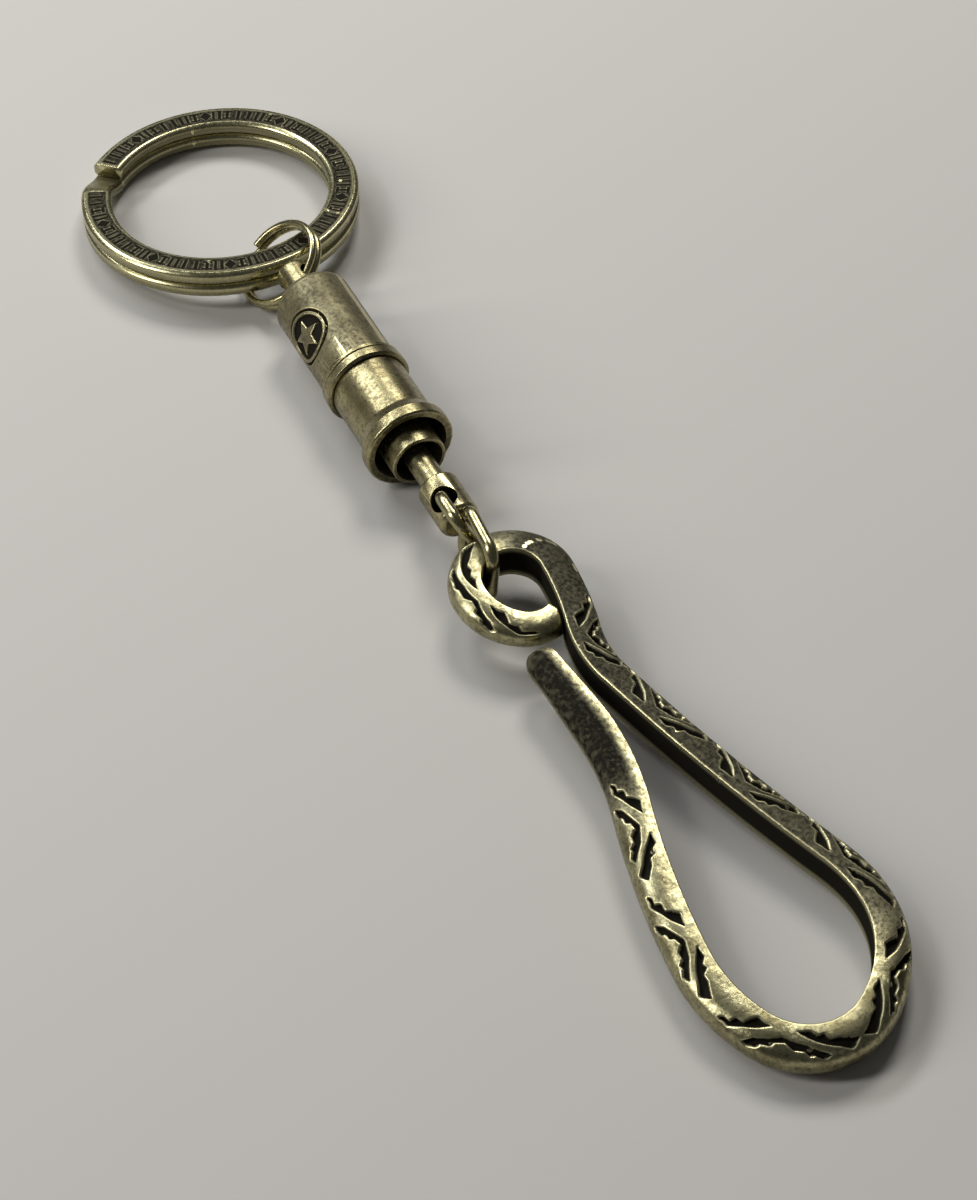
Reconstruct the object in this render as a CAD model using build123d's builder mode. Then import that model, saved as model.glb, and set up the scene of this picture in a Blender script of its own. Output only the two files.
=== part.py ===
"""Brass fish-hook key holder with a ball-lock quick-release coupler and a flat split ring.

All sizes are in millimetres. +X runs along the coupler axis from the key ring to the hook,
+Z is up, the table is Z = 0, and the origin lies on the table in the middle of the outline.
"""
import os
from math import atan, cos, degrees, radians, sin

from build123d import *

os.makedirs("parts", exist_ok=True)

# ---- from the flange rim's foot to the middle of the whole outline ----
origin_shift = (-11.029, 0.564, 0.0)

# ---- coupler: stations along X, measured from the release flange's front rim ----
axis_height = 5.06
barrel_radius = 4.4
barrel_back = -26.0
barrel_front = -12.4
barrel_shoulder = 1.3
neck_radius = 1.9
neck_end = -31.0
neck_hole_x = -28.9
neck_hole_dia = 2.4
neck_hole_lean = 50.0

collar_radius = 4.85
collar_front = -10.3
collar_tail = -13.6
collar_tail_radius = 4.05
collar_web = 0.1

tube_radius = 3.1
tube_back = -17.0
tube_front = 2.2
tube_bore = 2.3
tube_bore_end = -12.0
mouth_bore = 2.7
mouth_depth = 3.2

sleeve_radius = 4.3
sleeve_back = -10.45
spring_chamber_radius = 3.85
land_back = -8.0
land_radius = 3.52
flange_radius = 5.06
flange_width = 1.5
flare_start = -2.9
front_recess_radius = 4.05

ball_radius = 0.75
ball_x = -5.6
ball_seat_radius = 2.75
ball_count = 4
ball_hole_clearance = 0.04
sleeve_travel = 1.8
ball_travel = 0.3

clip_back = -4.5
clip_width = 0.45
clip_radius = 3.66
clip_groove_radius = 2.85
clip_gap_angle = 50.0

spring_wire = 0.45
spring_mean_radius = 3.48
spring_turns = 4.0

plug_nose_end = -11.0
plug_nose_radius = 2.25
plug_nose_front = -3.5
stem_radius = 1.43
clevis_back = 6.5
clevis_end = 12.2
clevis_radius = 2.28
clevis_hole_x = 9.9
clevis_hole_dia = 3.1
clevis_hole_lean = -28.0
clevis_chamfer = 0.3

# ---- chain links ----
link_wire = 1.4
link_a_back = 9.6
link_a_front = 14.62
link_a_half_height = 3.1
link_b_back = 13.15
link_b_front = 20.7
link_b_half_height = 3.35
link_b_lean = 4.0
link_b_yaw = -5.0
link_corner = 1.7

# ---- hook ----
bar_thickness = 3.7
bar_half_height = 2.1
eye_centre = (23.0, 0.9)
hook_turn = 3.5
bend_station = 86.3
eye_lift = 2.5
lift_length = 62.0
start_heading = -63.0
hook_knots = [
    (4.10, 1.45), (3.71, -1.53), (-1.0, -3.24), (-3.86, -0.82), (-0.50, 3.29), (7.41, 1.55),
    (15.29, 1.02), (20.97, 2.12), (44.16, 7.92), (47.91, 8.59), (54.33, 7.0), (59.04, 2.15),
    (59.78, -1.30), (56.44, -5.96), (47.95, -7.14), (30.73, -2.88), (18.0, -0.75), (7.9, -1.1),
]
curl_last = 3
arm_last = 16
curl_gap = 0.15
curl_end_scale = 0.74
tip_scale = 0.82
tip_end = 0.9
tip_nose = [(0.45, 0.75), (0.8, 0.6), (1.0, 0.4)]

# ---- key rings ----
ring_radius = 16.0
ring_width = 3.4
ring_turn_height = 1.62
ring_turn_gap = 0.1
ring_centre = (-48.3, -1.3, 2.8)
ring_tilt = 4.1
ring_cut_angle = -136.0
ring_ramp_angle = 20.0
ring_edge = 0.35

small_ring_radius = 5.0
small_ring_wire = 0.86
small_ring_pitch = 0.9
small_ring_centre = (-33.6, -0.2, 4.1)
small_ring_yaw = -8.0
small_ring_lean = 51.0
small_ring_start = 200.0
small_ring_ramp = 30.0

# ---- roundel on the barrel ----
badge_x = -18.6
badge_turn = 61.0
badge_radius = 3.3
badge_groove = 0.35
badge_depth = 0.3
star_outer = 2.2
star_inner = 0.9
star_rise = 0.22

axis_point = (0.0, 0.0, axis_height)
coupler_axis = Axis(axis_point, (1, 0, 0))
half_section = Plane(origin=axis_point, x_dir=(1, 0, 0), z_dir=(0, -1, 0))


def cross_plane(station):
    """Plane square to the coupler axis, its Z along +X."""
    return Plane(origin=(station, 0, axis_height), x_dir=(0, 1, 0), z_dir=(1, 0, 0))


def leaning_plane(station, lean):
    """Plane square to a cross hole whose axis leans from +Z towards +Y."""
    across = (0, sin(radians(lean)), cos(radians(lean)))
    return Plane(origin=(station, 0, axis_height), x_dir=(1, 0, 0), z_dir=across)


def save(part, name):
    """Shift a part from the coupler's own zero to the assembly's origin and write it."""
    placed = part.moved(Location(origin_shift))
    placed.label = name
    export_step(placed, f"parts/{name}.step")


# ---- barrel: solid rear with the key-ring neck, counterbored front ----
badge_direction = (0, -sin(radians(badge_turn)), cos(radians(badge_turn)))
badge_plane = Plane(origin=(badge_x, 0, axis_height), x_dir=(1, 0, 0), z_dir=badge_direction)
badge_floor = barrel_radius - badge_depth

with BuildPart() as star:
    with BuildSketch(badge_plane.offset(barrel_radius - 2 * badge_depth)):
        with BuildLine():
            Polyline(*[
                (
                    (star_outer if point % 2 == 0 else star_inner) * cos(radians(90 + 36 * point)),
                    (star_outer if point % 2 == 0 else star_inner) * sin(radians(90 + 36 * point)),
                )
                for point in range(10)
            ], close=True)
        make_face()
    extrude(amount=2 * badge_depth)
    with BuildSketch(cross_plane(badge_x - badge_radius)):
        Circle(badge_floor + star_rise)
    extrude(amount=2 * badge_radius, mode=Mode.INTERSECT)

with BuildPart() as badge_cut:
    with BuildSketch(badge_plane):
        Circle(badge_radius)
        Circle(badge_radius - badge_groove, mode=Mode.SUBTRACT)
    extrude(amount=barrel_radius + 1)
    with BuildSketch(badge_plane):
        Circle(badge_radius - 2 * badge_groove)
    extrude(amount=barrel_radius + 1)
    with BuildSketch(cross_plane(badge_x - badge_radius)):
        Circle(badge_floor)
    extrude(amount=2 * badge_radius, mode=Mode.SUBTRACT)

with BuildPart() as barrel:
    with BuildSketch(half_section):
        with BuildLine():
            Polyline(
                (neck_end, 0), (neck_end, neck_radius - 0.5), (neck_end + 0.5, neck_radius),
                (barrel_back, neck_radius), (barrel_back, barrel_radius - barrel_shoulder),
            )
            RadiusArc(
                (barrel_back, barrel_radius - barrel_shoulder),
                (barrel_back + barrel_shoulder, barrel_radius),
                barrel_shoulder,
            )
            Polyline(
                (barrel_back + barrel_shoulder, barrel_radius), (barrel_front, barrel_radius),
                (barrel_front, collar_tail_radius), (collar_tail, collar_tail_radius),
                (collar_tail, tube_radius), (tube_back, tube_radius), (tube_back, 0), (neck_end, 0),
            )
        make_face()
    revolve(axis=coupler_axis)
    with BuildSketch(leaning_plane(neck_hole_x, neck_hole_lean)):
        Circle(neck_hole_dia / 2)
    extrude(amount=neck_radius + 1, both=True, mode=Mode.SUBTRACT)
    add(badge_cut.part, mode=Mode.SUBTRACT)
    add(star.part)
save(barrel.part, "barrel")

# ---- guide collar: raised band that carries the sleeve's back end ----
with BuildPart() as guide_collar:
    with BuildSketch(half_section):
        with BuildLine():
            Polyline(
                (collar_tail, tube_radius), (collar_tail, collar_tail_radius),
                (barrel_front, collar_tail_radius), (barrel_front, collar_radius - 0.3),
                (barrel_front + 0.3, collar_radius), (collar_front - 0.3, collar_radius),
                (collar_front, collar_radius - 0.3), (collar_front, sleeve_radius + 0.06),
                (barrel_front + collar_web, sleeve_radius + 0.06),
                (barrel_front + collar_web, tube_radius), (collar_tail, tube_radius),
            )
        make_face()
    revolve(axis=coupler_axis)
save(guide_collar.part, "guide_collar")

# ---- socket tube: holds the balls, takes the plug ----
with BuildPart() as socket_tube:
    with BuildSketch(half_section):
        with BuildLine():
            Polyline(
                (tube_back, 0), (tube_back, tube_radius),
                (clip_back, tube_radius), (clip_back, clip_groove_radius),
                (clip_back + clip_width, clip_groove_radius), (clip_back + clip_width, tube_radius),
                (tube_front - 0.12, tube_radius), (tube_front, tube_radius - 0.12),
                (tube_front, mouth_bore), (tube_front - mouth_depth, mouth_bore),
                (tube_front - mouth_depth, tube_bore), (tube_bore_end, tube_bore),
                (tube_bore_end, 0), (tube_back, 0),
            )
        make_face()
    revolve(axis=coupler_axis)
    for ball in range(ball_count):
        turn = radians(45 + ball * 360 / ball_count)
        radial = (0, sin(turn), cos(turn))
        with BuildSketch(Plane(origin=(ball_x, 0, axis_height), x_dir=(1, 0, 0), z_dir=radial)):
            Circle(ball_radius + ball_hole_clearance)
        extrude(amount=tube_radius + 1, mode=Mode.SUBTRACT)
save(socket_tube.part, "socket_tube")

# ---- release sleeve: slides towards the key ring to free the balls ----
cam_slope = ball_travel / sleeve_travel
cam_end = ball_x + sleeve_travel + 0.3
with BuildPart() as release_sleeve:
    with BuildSketch(half_section):
        with BuildLine():
            Polyline(
                (sleeve_back, spring_chamber_radius), (sleeve_back, sleeve_radius),
                (flare_start, sleeve_radius),
            )
            TangentArc(
                (flare_start, sleeve_radius),
                (-flange_width, flange_radius - 0.15),
                tangent=(1, 0),
            )
            Polyline(
                (-flange_width, flange_radius - 0.15), (-flange_width + 0.15, flange_radius),
                (-0.2, flange_radius), (0, flange_radius - 0.2), (0, front_recess_radius + 0.25),
                (-0.25, front_recess_radius), (cam_end + 0.6, front_recess_radius),
                (cam_end, land_radius + cam_slope * (cam_end - ball_x)),
                (ball_x, land_radius), (land_back, land_radius), (land_back, spring_chamber_radius),
                (sleeve_back, spring_chamber_radius),
            )
        make_face()
    revolve(axis=coupler_axis)
save(release_sleeve.part, "release_sleeve")

# ---- return spring, between the collar's web and the sleeve's land ----
spring_start = barrel_front + collar_web + spring_wire / 2
spring_length = land_back - spring_wire / 2 - spring_start
with BuildPart() as return_spring:
    with BuildLine() as spring_line:
        Helix(
            pitch=spring_length / spring_turns,
            height=spring_length,
            radius=spring_mean_radius,
            center=(spring_start, 0, axis_height),
            direction=(1, 0, 0),
        )
    spring_path = spring_line.line
    with BuildSketch(Plane(origin=spring_path @ 0, z_dir=spring_path % 0)):
        Circle(spring_wire / 2)
    sweep(path=spring_path, is_frenet=True)
save(return_spring.part, "return_spring")

# ---- locking balls ----
for ball in range(ball_count):
    turn = radians(45 + ball * 360 / ball_count)
    seat = (ball_x, ball_seat_radius * sin(turn), axis_height + ball_seat_radius * cos(turn))
    with BuildPart() as locking_ball:
        with Locations(seat):
            Sphere(ball_radius)
    save(locking_ball.part, f"ball_{ball + 1}")

# ---- retaining clip: open snap ring that stops the sleeve coming off ----
with BuildPart() as retaining_clip:
    with BuildSketch(cross_plane(clip_back)):
        Circle(clip_radius)
        Circle(clip_groove_radius, mode=Mode.SUBTRACT)
        with BuildLine():
            gap_half = radians(clip_gap_angle / 2)
            reach = 2 * clip_radius
            Polyline(
                (0, 0), (-reach * sin(gap_half), -reach * cos(gap_half)),
                (reach * sin(gap_half), -reach * cos(gap_half)), (0, 0),
            )
        make_face(mode=Mode.SUBTRACT)
    extrude(amount=clip_width)
save(retaining_clip.part, "retaining_clip")

# ---- plug: grooved nose, stem and cross-drilled end ----
with BuildPart() as plug:
    with BuildSketch(half_section):
        with BuildLine():
            Polyline(
                (plug_nose_end, 0), (plug_nose_end, plug_nose_radius - 0.7),
                (plug_nose_end + 1.0, plug_nose_radius), (plug_nose_front, plug_nose_radius),
                (plug_nose_front + 0.6, stem_radius), (clevis_back, stem_radius),
                (clevis_back, clevis_radius - clevis_chamfer),
                (clevis_back + clevis_chamfer, clevis_radius),
                (clevis_end - clevis_chamfer, clevis_radius),
                (clevis_end, clevis_radius - clevis_chamfer), (clevis_end, 0), (plug_nose_end, 0),
            )
        make_face()
    revolve(axis=coupler_axis)
    with BuildSketch(half_section):
        with Locations((ball_x, ball_seat_radius)):
            Circle(ball_radius + ball_hole_clearance)
    revolve(axis=coupler_axis, mode=Mode.SUBTRACT)
    with BuildSketch(leaning_plane(clevis_hole_x, clevis_hole_lean)):
        Circle(clevis_hole_dia / 2)
    extrude(amount=clevis_radius + 1, both=True, mode=Mode.SUBTRACT)
save(plug.part, "plug")


def link_plane(back, lean, yaw):
    """Plane that starts on the coupler axis, runs at the yaw and leans from +Z towards +Y."""
    run = Vector(cos(radians(yaw)), sin(radians(yaw)), 0)
    side = Vector(-sin(radians(yaw)), cos(radians(yaw)), 0)
    upright = side * sin(radians(lean)) + Vector(0, 0, cos(radians(lean)))
    return Plane(origin=(back, 0, axis_height), x_dir=run, z_dir=run.cross(upright))


# ---- chain link through the plug ----
link_sizes = {
    "link_a": (link_a_back, link_a_front, link_a_half_height, clevis_hole_lean, 0.0),
    "link_b": (link_b_back, link_b_front, link_b_half_height, link_b_lean, link_b_yaw),
}
for link_name, (back, front, half_height, lean, yaw_angle) in link_sizes.items():
    with BuildSketch(link_plane(back, lean, yaw_angle)) as link_outline:
        with Locations(((front - back) / 2, 0)):
            RectangleRounded(front - back, 2 * half_height, link_corner)
    link_path = link_outline.sketch.face().outer_wire()
    with BuildPart() as link:
        with BuildSketch(Plane(origin=link_path @ 0, z_dir=link_path % 0)):
            Circle(link_wire / 2)
        sweep(path=link_path)
    save(link.part, link_name)

# ---- hook: D-section bar curled into an eye, run out to the bend and back to the tip ----
def bar_section(path, place, scale, beyond=0.0):
    """D-section: flat on the inner line, rounded outwards to the left of the travel."""
    travel = path % place
    left = Vector(-travel.Y, travel.X, 0)
    thick = bar_thickness * scale
    half = bar_half_height * scale
    corner = path @ place + travel * beyond
    if beyond > 0:
        corner = corner + left * (bar_thickness * (tip_scale - scale) / 2)
    with BuildSketch(Plane(origin=corner, x_dir=left, z_dir=travel)) as section:
        with BuildLine():
            Spline(
                (0, half), (0.766 * thick, 0.766 * half), (thick, 0), (0.766 * thick, -0.766 * half),
                (0, -half),
                tangents=[(1, 0), (-1, 0)],
            )
            Line((0, -half), (0, half))
        make_face()
    return section.sketch


inner_arcs = []
heading = (cos(radians(start_heading)), sin(radians(start_heading)))
for start, finish in zip(hook_knots[:-1], hook_knots[1:]):
    with BuildLine() as arc_line:
        TangentArc(start, finish, tangent=heading)
    inner_arcs.append(arc_line.edge())
    heading = inner_arcs[-1] % 1

curl_path = Wire(inner_arcs[:curl_last])
arm_path = Wire(inner_arcs[curl_last:arm_last])
tip_path = inner_arcs[arm_last].trim(0, tip_end)
arm_start = Vector(*hook_knots[curl_last + 1])
arm_run = (Vector(*hook_knots[curl_last + 2]) - arm_start).normalized()
arm_side = Vector(-arm_run.Y, arm_run.X, 0)

with BuildPart() as curl:
    curl_sections = [bar_section(curl_path, 0, curl_end_scale), bar_section(curl_path, 1, 1)]
    sweep(sections=curl_sections, path=curl_path, multisection=True)
    split(bisect_by=Plane(arm_start - arm_side * curl_gap, z_dir=arm_side), keep=Keep.BOTTOM)

with BuildPart() as hook_tip:
    tip_sections = [bar_section(tip_path, 0, 1), bar_section(tip_path, 1, tip_scale)]
    sweep(sections=tip_sections, path=tip_path, multisection=True)

with BuildPart() as hook_nose:
    nose_sections = [bar_section(tip_path, 1, scale, beyond) for beyond, scale in tip_nose]
    loft(sections=[bar_section(tip_path, 1, tip_scale)] + nose_sections)

with BuildPart() as flat_hook:
    add(bar_section(arm_path, 0, 1))
    sweep(path=arm_path)
    add(curl.part)
    add(hook_tip.part)
    add(hook_nose.part)

lift_slope = eye_lift / lift_length
eye_height = bar_half_height + lift_slope * (bend_station - eye_centre[0])
hook_plane = Plane(
    origin=(eye_centre[0], eye_centre[1], eye_height),
    x_dir=(cos(radians(hook_turn)), sin(radians(hook_turn)), -lift_slope * cos(radians(hook_turn))),
    z_dir=(lift_slope, 0, 1),
)
with BuildPart() as hook:
    with Locations(hook_plane.location):
        add(flat_hook.part)
save(hook.part, "hook")


# ---- split rings: two turns joined by a ramp ----
def flat_wire(place):
    """Flat wire section with bevelled edges."""
    wide = ring_width / 2
    high = ring_turn_height / 2
    with BuildSketch(place) as section:
        Rectangle(2 * wide, 2 * high)
        chamfer(section.vertices(), length=ring_edge)
    return section.sketch


def round_wire(place):
    """Round wire section."""
    with BuildSketch(place) as section:
        Circle(small_ring_wire / 2)
    return section.sketch


def split_ring(frame, start_angle, ramp_angle, pitch, mean_radius, wire_section):
    """Lower turn, ramp and upper turn about the frame's Z."""
    centre_axis = Axis(frame.origin, frame.z_dir)

    def section_at(angle, height):
        radial = frame.x_dir * cos(radians(angle)) + frame.y_dir * sin(radians(angle))
        middle = frame.origin + radial * mean_radius + frame.z_dir * height
        return wire_section(Plane(origin=middle, x_dir=radial, z_dir=radial.cross(frame.z_dir)))

    ramp_steps = 6
    ramp = []
    for step in range(ramp_steps + 1):
        share = step / ramp_steps
        rise = pitch * (3 * share**2 - 2 * share**3) - pitch / 2
        ramp.append(section_at(start_angle + ramp_angle * share, rise))
    turn_start = start_angle + ramp_angle
    turn_arc = 360 - ramp_angle
    with BuildPart() as ring:
        revolve(section_at(turn_start, -pitch / 2), axis=centre_axis, revolution_arc=turn_arc)
        revolve(section_at(turn_start, pitch / 2), axis=centre_axis, revolution_arc=turn_arc)
        loft(sections=ramp)
    return ring.part


main_frame = Plane(
    origin=ring_centre,
    x_dir=(cos(radians(ring_tilt)), 0, sin(radians(ring_tilt))),
    z_dir=(-sin(radians(ring_tilt)), 0, cos(radians(ring_tilt))),
)
main_ring = split_ring(
    main_frame, ring_cut_angle, ring_ramp_angle, ring_turn_height + ring_turn_gap,
    ring_radius - ring_width / 2, flat_wire,
)
save(main_ring, "main_split_ring")

yaw = radians(small_ring_yaw)
lean = radians(small_ring_lean)
small_run = Vector(cos(yaw), sin(yaw), 0)
small_rise = Vector(-sin(yaw) * sin(lean), cos(yaw) * sin(lean), cos(lean))
small_frame = Plane(
    origin=small_ring_centre, x_dir=small_run, z_dir=small_run.cross(small_rise)
)
small_ring = split_ring(
    small_frame, small_ring_start, small_ring_ramp, small_ring_pitch,
    small_ring_radius, round_wire,
)
save(small_ring, "small_split_ring")
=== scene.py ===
import math

import bmesh
import bpy
import numpy as np
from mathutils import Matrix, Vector


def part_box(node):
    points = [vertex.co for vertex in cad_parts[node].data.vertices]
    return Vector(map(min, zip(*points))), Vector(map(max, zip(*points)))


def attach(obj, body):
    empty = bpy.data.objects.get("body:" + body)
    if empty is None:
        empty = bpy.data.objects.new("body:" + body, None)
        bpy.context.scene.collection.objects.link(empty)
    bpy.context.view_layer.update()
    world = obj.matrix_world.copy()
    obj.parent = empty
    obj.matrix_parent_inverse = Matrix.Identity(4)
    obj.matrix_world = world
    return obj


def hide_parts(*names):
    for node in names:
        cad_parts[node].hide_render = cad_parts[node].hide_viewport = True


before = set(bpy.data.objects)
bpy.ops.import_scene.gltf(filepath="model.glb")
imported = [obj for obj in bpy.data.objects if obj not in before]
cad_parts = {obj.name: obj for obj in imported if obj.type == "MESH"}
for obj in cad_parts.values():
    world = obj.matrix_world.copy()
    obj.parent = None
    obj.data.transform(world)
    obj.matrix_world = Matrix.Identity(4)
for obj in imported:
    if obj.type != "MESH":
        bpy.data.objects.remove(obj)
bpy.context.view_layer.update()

MM = 0.001
FULL_TURN = 2 * math.pi

# ---------------------------------------------------------------- place
# Lengths are in millimetres from the foot of the release flange's rim: s along +X, l along +Y.
sleeve_low, sleeve_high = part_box("release_sleeve")
RIM = np.array([sleeve_high.x, (sleeve_low.y + sleeve_high.y) / 2, 0.0])
AXIS_Z = (sleeve_low.z + sleeve_high.z) / 2 / MM


def to_world(points):
    return np.asarray(points, float) * MM + RIM


def unit(v):
    v = np.asarray(v, float)
    return v / np.linalg.norm(v)


def smooth(low, high, x):
    """0 below low, 1 above high, with a soft step between them."""
    t = np.clip((x - low) / (high - low), 0, 1)
    return t * t * (3 - 2 * t)


# ---------------------------------------------------------------- mesh building
def mesh_from_grid(name, grid, body, node, material, closed=False, caps=(), patina_and_shade=0.0, rub_and_highlight=0.0):
    """A smooth mesh from rows of points, where each row is a closed loop.
    closed joins the last row to the first; caps closes the first or last row with a fan.
    The last two arguments, patina with painted shade and rubbed wear with painted highlights, are one
    number or one for each point of the grid."""
    rows, cols = grid.shape[:2]
    points = grid.reshape(-1, 3)
    faces = []
    for i in range(rows if closed else rows - 1):
        j = (i + 1) % rows
        for k in range(cols):
            m = (k + 1) % cols
            faces.append((i * cols + k, j * cols + k, j * cols + m, i * cols + m))
    centres = []
    for end in caps:
        row = 0 if end == "first" else rows - 1
        centre = rows * cols + len(centres)
        centres.append(grid[row].mean(0))
        for k in range(cols):
            m = (k + 1) % cols
            pair = (row * cols + m, row * cols + k)
            faces.append((centre, *(pair[::-1] if end == "first" else pair)))
    if centres:
        points = np.vstack([points, centres])
    mesh = bpy.data.meshes.new(name)
    mesh.from_pydata(to_world(points).tolist(), [], faces)
    mesh.update()
    mesh.polygons.foreach_set("use_smooth", [True] * len(mesh.polygons))
    for title, given in (("patina_and_shade", patina_and_shade), ("rub_and_highlight", rub_and_highlight)):
        values = np.zeros(len(points))
        values[:rows * cols] = np.broadcast_to(given, (rows, cols)).reshape(-1)
        mesh.attributes.new(title, "FLOAT", "POINT").data.foreach_set("value", values)
    obj = bpy.data.objects.new(name, mesh)
    bpy.context.collection.objects.link(obj)
    mesh.materials.append(material)
    fix_normals(obj)
    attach(obj, body)
    if node:
        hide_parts(node)
    return obj


def fix_normals(obj):
    bm = bmesh.new()
    bm.from_mesh(obj.data)
    bmesh.ops.recalc_face_normals(bm, faces=bm.faces)
    bm.to_mesh(obj.data)
    bm.free()


def rounded_profile(corners, radius=0.08, arc_steps=4):
    """Corner list (s, r) with small round edges and support points beside them.
    A corner may carry its own radius as a third number."""
    side_share, support, support_share, straight = 0.45, 0.03, 0.04, 0.02
    out = [np.array(corners[0][:2], float)]
    for before, corner, after in zip(corners[:-2], corners[1:-1], corners[2:]):
        p = np.array(corner[:2], float)
        a = np.array(before[:2], float) - p
        b = np.array(after[:2], float) - p
        want = corner[2] if len(corner) > 2 else radius
        la, lb = np.linalg.norm(a), np.linalg.norm(b)
        a, b = a / la, b / lb
        opening = math.acos(np.clip(a @ b, -1, 1))
        if opening > math.pi - straight:
            out.append(p)
            continue
        reach = min(want / math.tan(opening / 2), side_share * la, side_share * lb)
        r = reach * math.tan(opening / 2)
        centre = p + unit(a + b) * r / math.sin(opening / 2)
        start, end = p + a * reach - centre, p + b * reach - centre
        out.append(p + a * (reach + min(support, support_share * la)))
        for k in range(arc_steps + 1):
            t = k / arc_steps * math.pi / 2
            out.append(centre + unit(start * math.cos(t) + end * math.sin(t)) * r)
        out.append(p + b * (reach + min(support, support_share * lb)))
    out.append(np.array(corners[-1][:2], float))
    return np.array(out)


def even_angles(count):
    return np.linspace(0, FULL_TURN, count, endpoint=False)


def lathe(name, profile, body, node, material, segments=192, angles=None, shape=None, patina_and_shade=None):
    """Turns a profile (s, r) about the coupler axis.
    shape moves points in or out and marks them; the last argument gives the patina and painted shade of
    a place (s, r)."""
    angles = even_angles(segments) if angles is None else angles
    s = np.repeat(profile[:, :1], len(angles), 1)
    r = np.repeat(profile[:, 1:2], len(angles), 1)
    th = np.repeat(angles[None], len(profile), 0)
    mark = np.zeros_like(s)
    if shape:
        r, mark = shape(s, r, th)
    if patina_and_shade:
        mark = np.maximum(mark, patina_and_shade(s, r))
    # every turned face has a little patina, and painted shade darkens the underside
    mark = np.maximum(mark, 0.12 + 0.4 * smooth(0.25, -0.5, np.cos(th)))
    grid = np.stack([s, r * np.sin(th), AXIS_Z + r * np.cos(th)], -1)
    return mesh_from_grid(name, grid, body, node, material, patina_and_shade=mark)


def hole_tool(name, centre, direction, radius, depth):
    """A cylinder with many rings, so that the wall it cuts has points of its own."""
    bm = bmesh.new()
    bmesh.ops.create_cone(bm, cap_ends=True, segments=64, radius1=radius * MM,
                          radius2=radius * MM, depth=depth * MM)
    sides = [edge for edge in bm.edges if edge.calc_length() > 0.9 * depth * MM]
    bmesh.ops.subdivide_edges(bm, edges=sides, cuts=40, use_grid_fill=True)
    mesh = bpy.data.meshes.new(name)
    bm.to_mesh(mesh)
    bm.free()
    mesh.polygons.foreach_set("use_smooth", [True] * len(mesh.polygons))
    tool = bpy.data.objects.new(name, mesh)
    bpy.context.collection.objects.link(tool)
    tool.rotation_mode = "QUATERNION"
    tool.rotation_quaternion = direction.to_track_quat("Z", "Y")
    tool.location = centre
    return tool


def cross_hole(obj, s, lean, radius, name, depth=6, bore_shade=0.95, rim_bevel=0.1):
    """Drills a round hole through the coupler axis at s, leaning from +Z towards +Y."""
    centre = Vector(to_world((s, 0, AXIS_Z)))
    direction = Vector(unit((0, math.sin(lean), math.cos(lean))))
    tool = hole_tool(name, centre, direction, radius, depth)
    bpy.context.view_layer.update()
    boolean = obj.modifiers.new("hole", "BOOLEAN")
    boolean.object = tool
    boolean.operation = "DIFFERENCE"
    boolean.solver = "EXACT"
    graph = bpy.context.evaluated_depsgraph_get()
    drilled = bpy.data.meshes.new_from_object(obj.evaluated_get(graph))
    obj.modifiers.clear()
    obj.data = drilled
    bpy.data.objects.remove(tool)
    # the bore is painted dark as shade
    marks = drilled.attributes["patina_and_shade"].data
    for vertex in drilled.vertices:
        offset = obj.matrix_world @ vertex.co - centre
        off_axis = (offset - offset.dot(direction) * direction).length
        if off_axis < (radius + 0.02) * MM:
            marks[vertex.index].value = bore_shade
    edge = obj.modifiers.new("edge", "BEVEL")
    edge.width = rim_bevel * MM
    edge.segments = 3
    edge.limit_method = "ANGLE"
    edge.angle_limit = math.radians(40)


def tube_along(name, path, radius, body, node, normal, around=24, closed=True):
    """Round wire along a flat path; normal is square to the path's plane."""
    path = np.asarray(path, float)
    if closed:
        travel = np.roll(path, -1, 0) - np.roll(path, 1, 0)
    else:
        travel = np.gradient(path, axis=0)
    travel /= np.linalg.norm(travel, axis=1)[:, None]
    side = np.cross(travel, normal)
    side /= np.linalg.norm(side, axis=1)[:, None]
    up = np.cross(side, travel)
    angles = even_angles(around)[None, :, None]
    grid = path[:, None] + radius * (np.cos(angles) * side[:, None] + np.sin(angles) * up[:, None])
    return mesh_from_grid(name, grid, body, node, wire_brass, closed=closed,
                          caps=() if closed else ("first", "last"))


# ---------------------------------------------------------------- materials
def node_tree(name):
    material = bpy.data.materials.new(name)
    material.use_nodes = True
    tree = material.node_tree
    return material, tree, tree.nodes["Principled BSDF"]


def add(tree, kind, **values):
    node = tree.nodes.new(kind)
    for key, value in values.items():
        setattr(node, key, value)
    return node


def noise(tree, coords, scale, detail, rough=0.6):
    node = add(tree, "ShaderNodeTexNoise")
    node.inputs["Scale"].default_value = scale
    node.inputs["Detail"].default_value = detail
    node.inputs["Roughness"].default_value = rough
    tree.links.new(coords, node.inputs["Vector"])
    return node.outputs["Fac"]


def grey(tree, value, low, high):
    """Maps low..high to 0..1."""
    node = add(tree, "ShaderNodeMapRange")
    node.inputs["From Min"].default_value = low
    node.inputs["From Max"].default_value = high
    tree.links.new(value, node.inputs["Value"])
    return node.outputs["Result"]


def maths(tree, operation, a, b, clamp=True):
    """a and b are numbers or sockets."""
    node = add(tree, "ShaderNodeMath", operation=operation)
    node.use_clamp = clamp
    for place, value in enumerate((a, b)):
        if isinstance(value, (int, float)):
            node.inputs[place].default_value = value
        else:
            tree.links.new(value, node.inputs[place])
    return node.outputs[0]


def mix(tree, factor, a, b):
    """Colour a where the factor is 0 and b where it is 1; both are colours or sockets."""
    node = add(tree, "ShaderNodeMix", data_type="RGBA")
    tree.links.new(factor, node.inputs[0])
    for socket, value in ((node.inputs[6], a), (node.inputs[7], b)):
        if isinstance(value, tuple):
            socket.default_value = (*value, 1)
        else:
            tree.links.new(value, socket)
    return node.outputs[2]


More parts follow.
